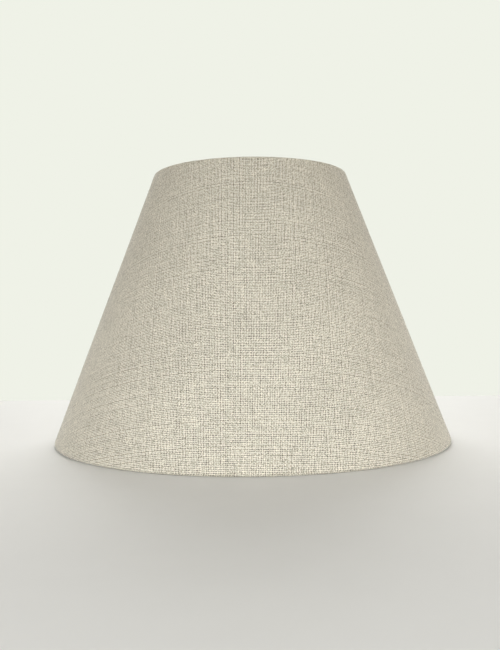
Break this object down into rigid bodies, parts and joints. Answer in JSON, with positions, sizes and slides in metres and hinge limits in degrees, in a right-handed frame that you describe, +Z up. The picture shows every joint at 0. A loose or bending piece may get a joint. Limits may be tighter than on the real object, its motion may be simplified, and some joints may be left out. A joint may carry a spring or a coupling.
{
  "type": "lamp shade",
  "caption": "Tapered round lamp shade in natural linen on a stiff liner, with rolled hems on wire rings and a tilting, reversible lampholder ring.",
  "frame": {"origin": "centre of the base: on the shade's axis, in the plane that the lower hem stands on", "axes": "+Z up along the shade's axis towards the small opening, +Y towards the lap seam at the back, +X to the right seen from the front, along the gimbal's pivots"},
  "size_m": [0.3, 0.3, 0.2035],
  "materials": {
    "linen": "matte",
    "liner": "satin",
    "tape": "satin",
    "coated_wire": "satin",
    "rivet_steel": "satin",
    "reducer_plastic": "satin"
  },
  "bodies": {
    "shade": {"linen_cover": "linen", "pvc_liner": "liner", "seam_tape": "tape", "top_ring": "coated_wire", "bottom_ring": "coated_wire", "top_ring_tape": "tape", "bottom_ring_tape": "tape", "gimbal_arm_left": "coated_wire", "gimbal_arm_right": "coated_wire", "pivot_rivet_left": "rivet_steel", "pivot_rivet_right": "rivet_steel"},
    "gimbal": {"drop_strap_left": "coated_wire", "drop_strap_right": "coated_wire", "fitter_ring": "coated_wire"},
    "reducer": {"reducer_ring": "reducer_plastic"}
  },
  "joints": [
    {"name": "gimbal_tilt", "type": "hinge", "parent": "shade", "child": "gimbal", "pos_m": [0, 0, 0.193], "axis": [1, 0, 0], "continuous": true},
    {"name": "reducer_lift", "type": "slide", "parent": "gimbal", "child": "reducer", "axis": [0, 0, 1], "range_m": [0, 0.05]}
  ]
}
